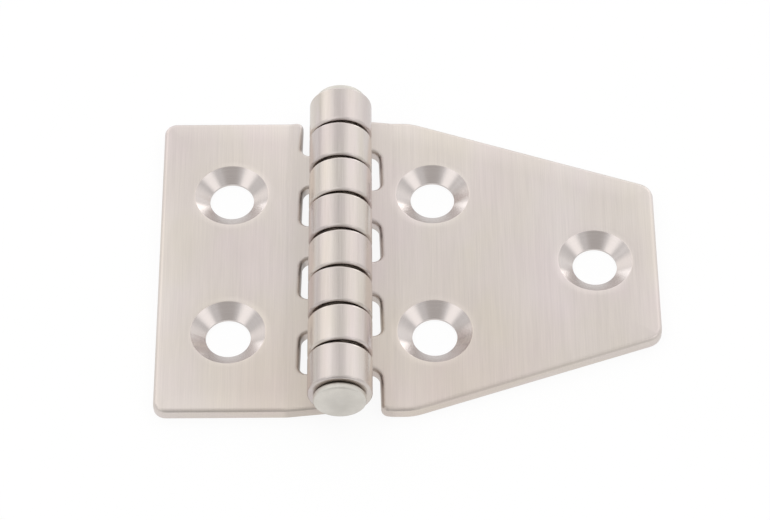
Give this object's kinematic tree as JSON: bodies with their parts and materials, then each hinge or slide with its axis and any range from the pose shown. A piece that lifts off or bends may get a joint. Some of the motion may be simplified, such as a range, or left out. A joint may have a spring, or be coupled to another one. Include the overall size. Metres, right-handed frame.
{
  "type": "surface hinge",
  "caption": "Flat stainless-steel surface hinge: a rectangular leaf and a longer tapered leaf, rolled into interlocking knuckles on a headed pin, with countersunk screw holes.",
  "frame": {"origin": "on the mounting plane, midway between the screw holes of the rectangular leaf", "axes": "+X from the rectangular leaf across the pin to the tapered leaf's tip, +Y along the pin towards the end where the tapered leaf has the last knuckle, +Z out of the mounting plane, the side the countersinks open to"},
  "size_m": [0.056, 0.0422, 0.008],
  "materials": {
    "leaves": "fine brushing along the pin, warm pale grey, softly rounded edges, turned countersinks",
    "pin": "smooth, matte, slightly domed heads"
  },
  "bodies": {
    "rectangular_side": {"rectangular_leaf": "leaves", "pin": "pin"},
    "tapered_side": {"tapered_leaf": "leaves"}
  },
  "joints": [
    {"name": "pin_hinge", "type": "hinge", "parent": "rectangular_side", "child": "tapered_side", "pos_m": [0.01245, 0, 0.0045], "axis": [0, -1, 0], "range_deg": [-88, 195]}
  ]
}
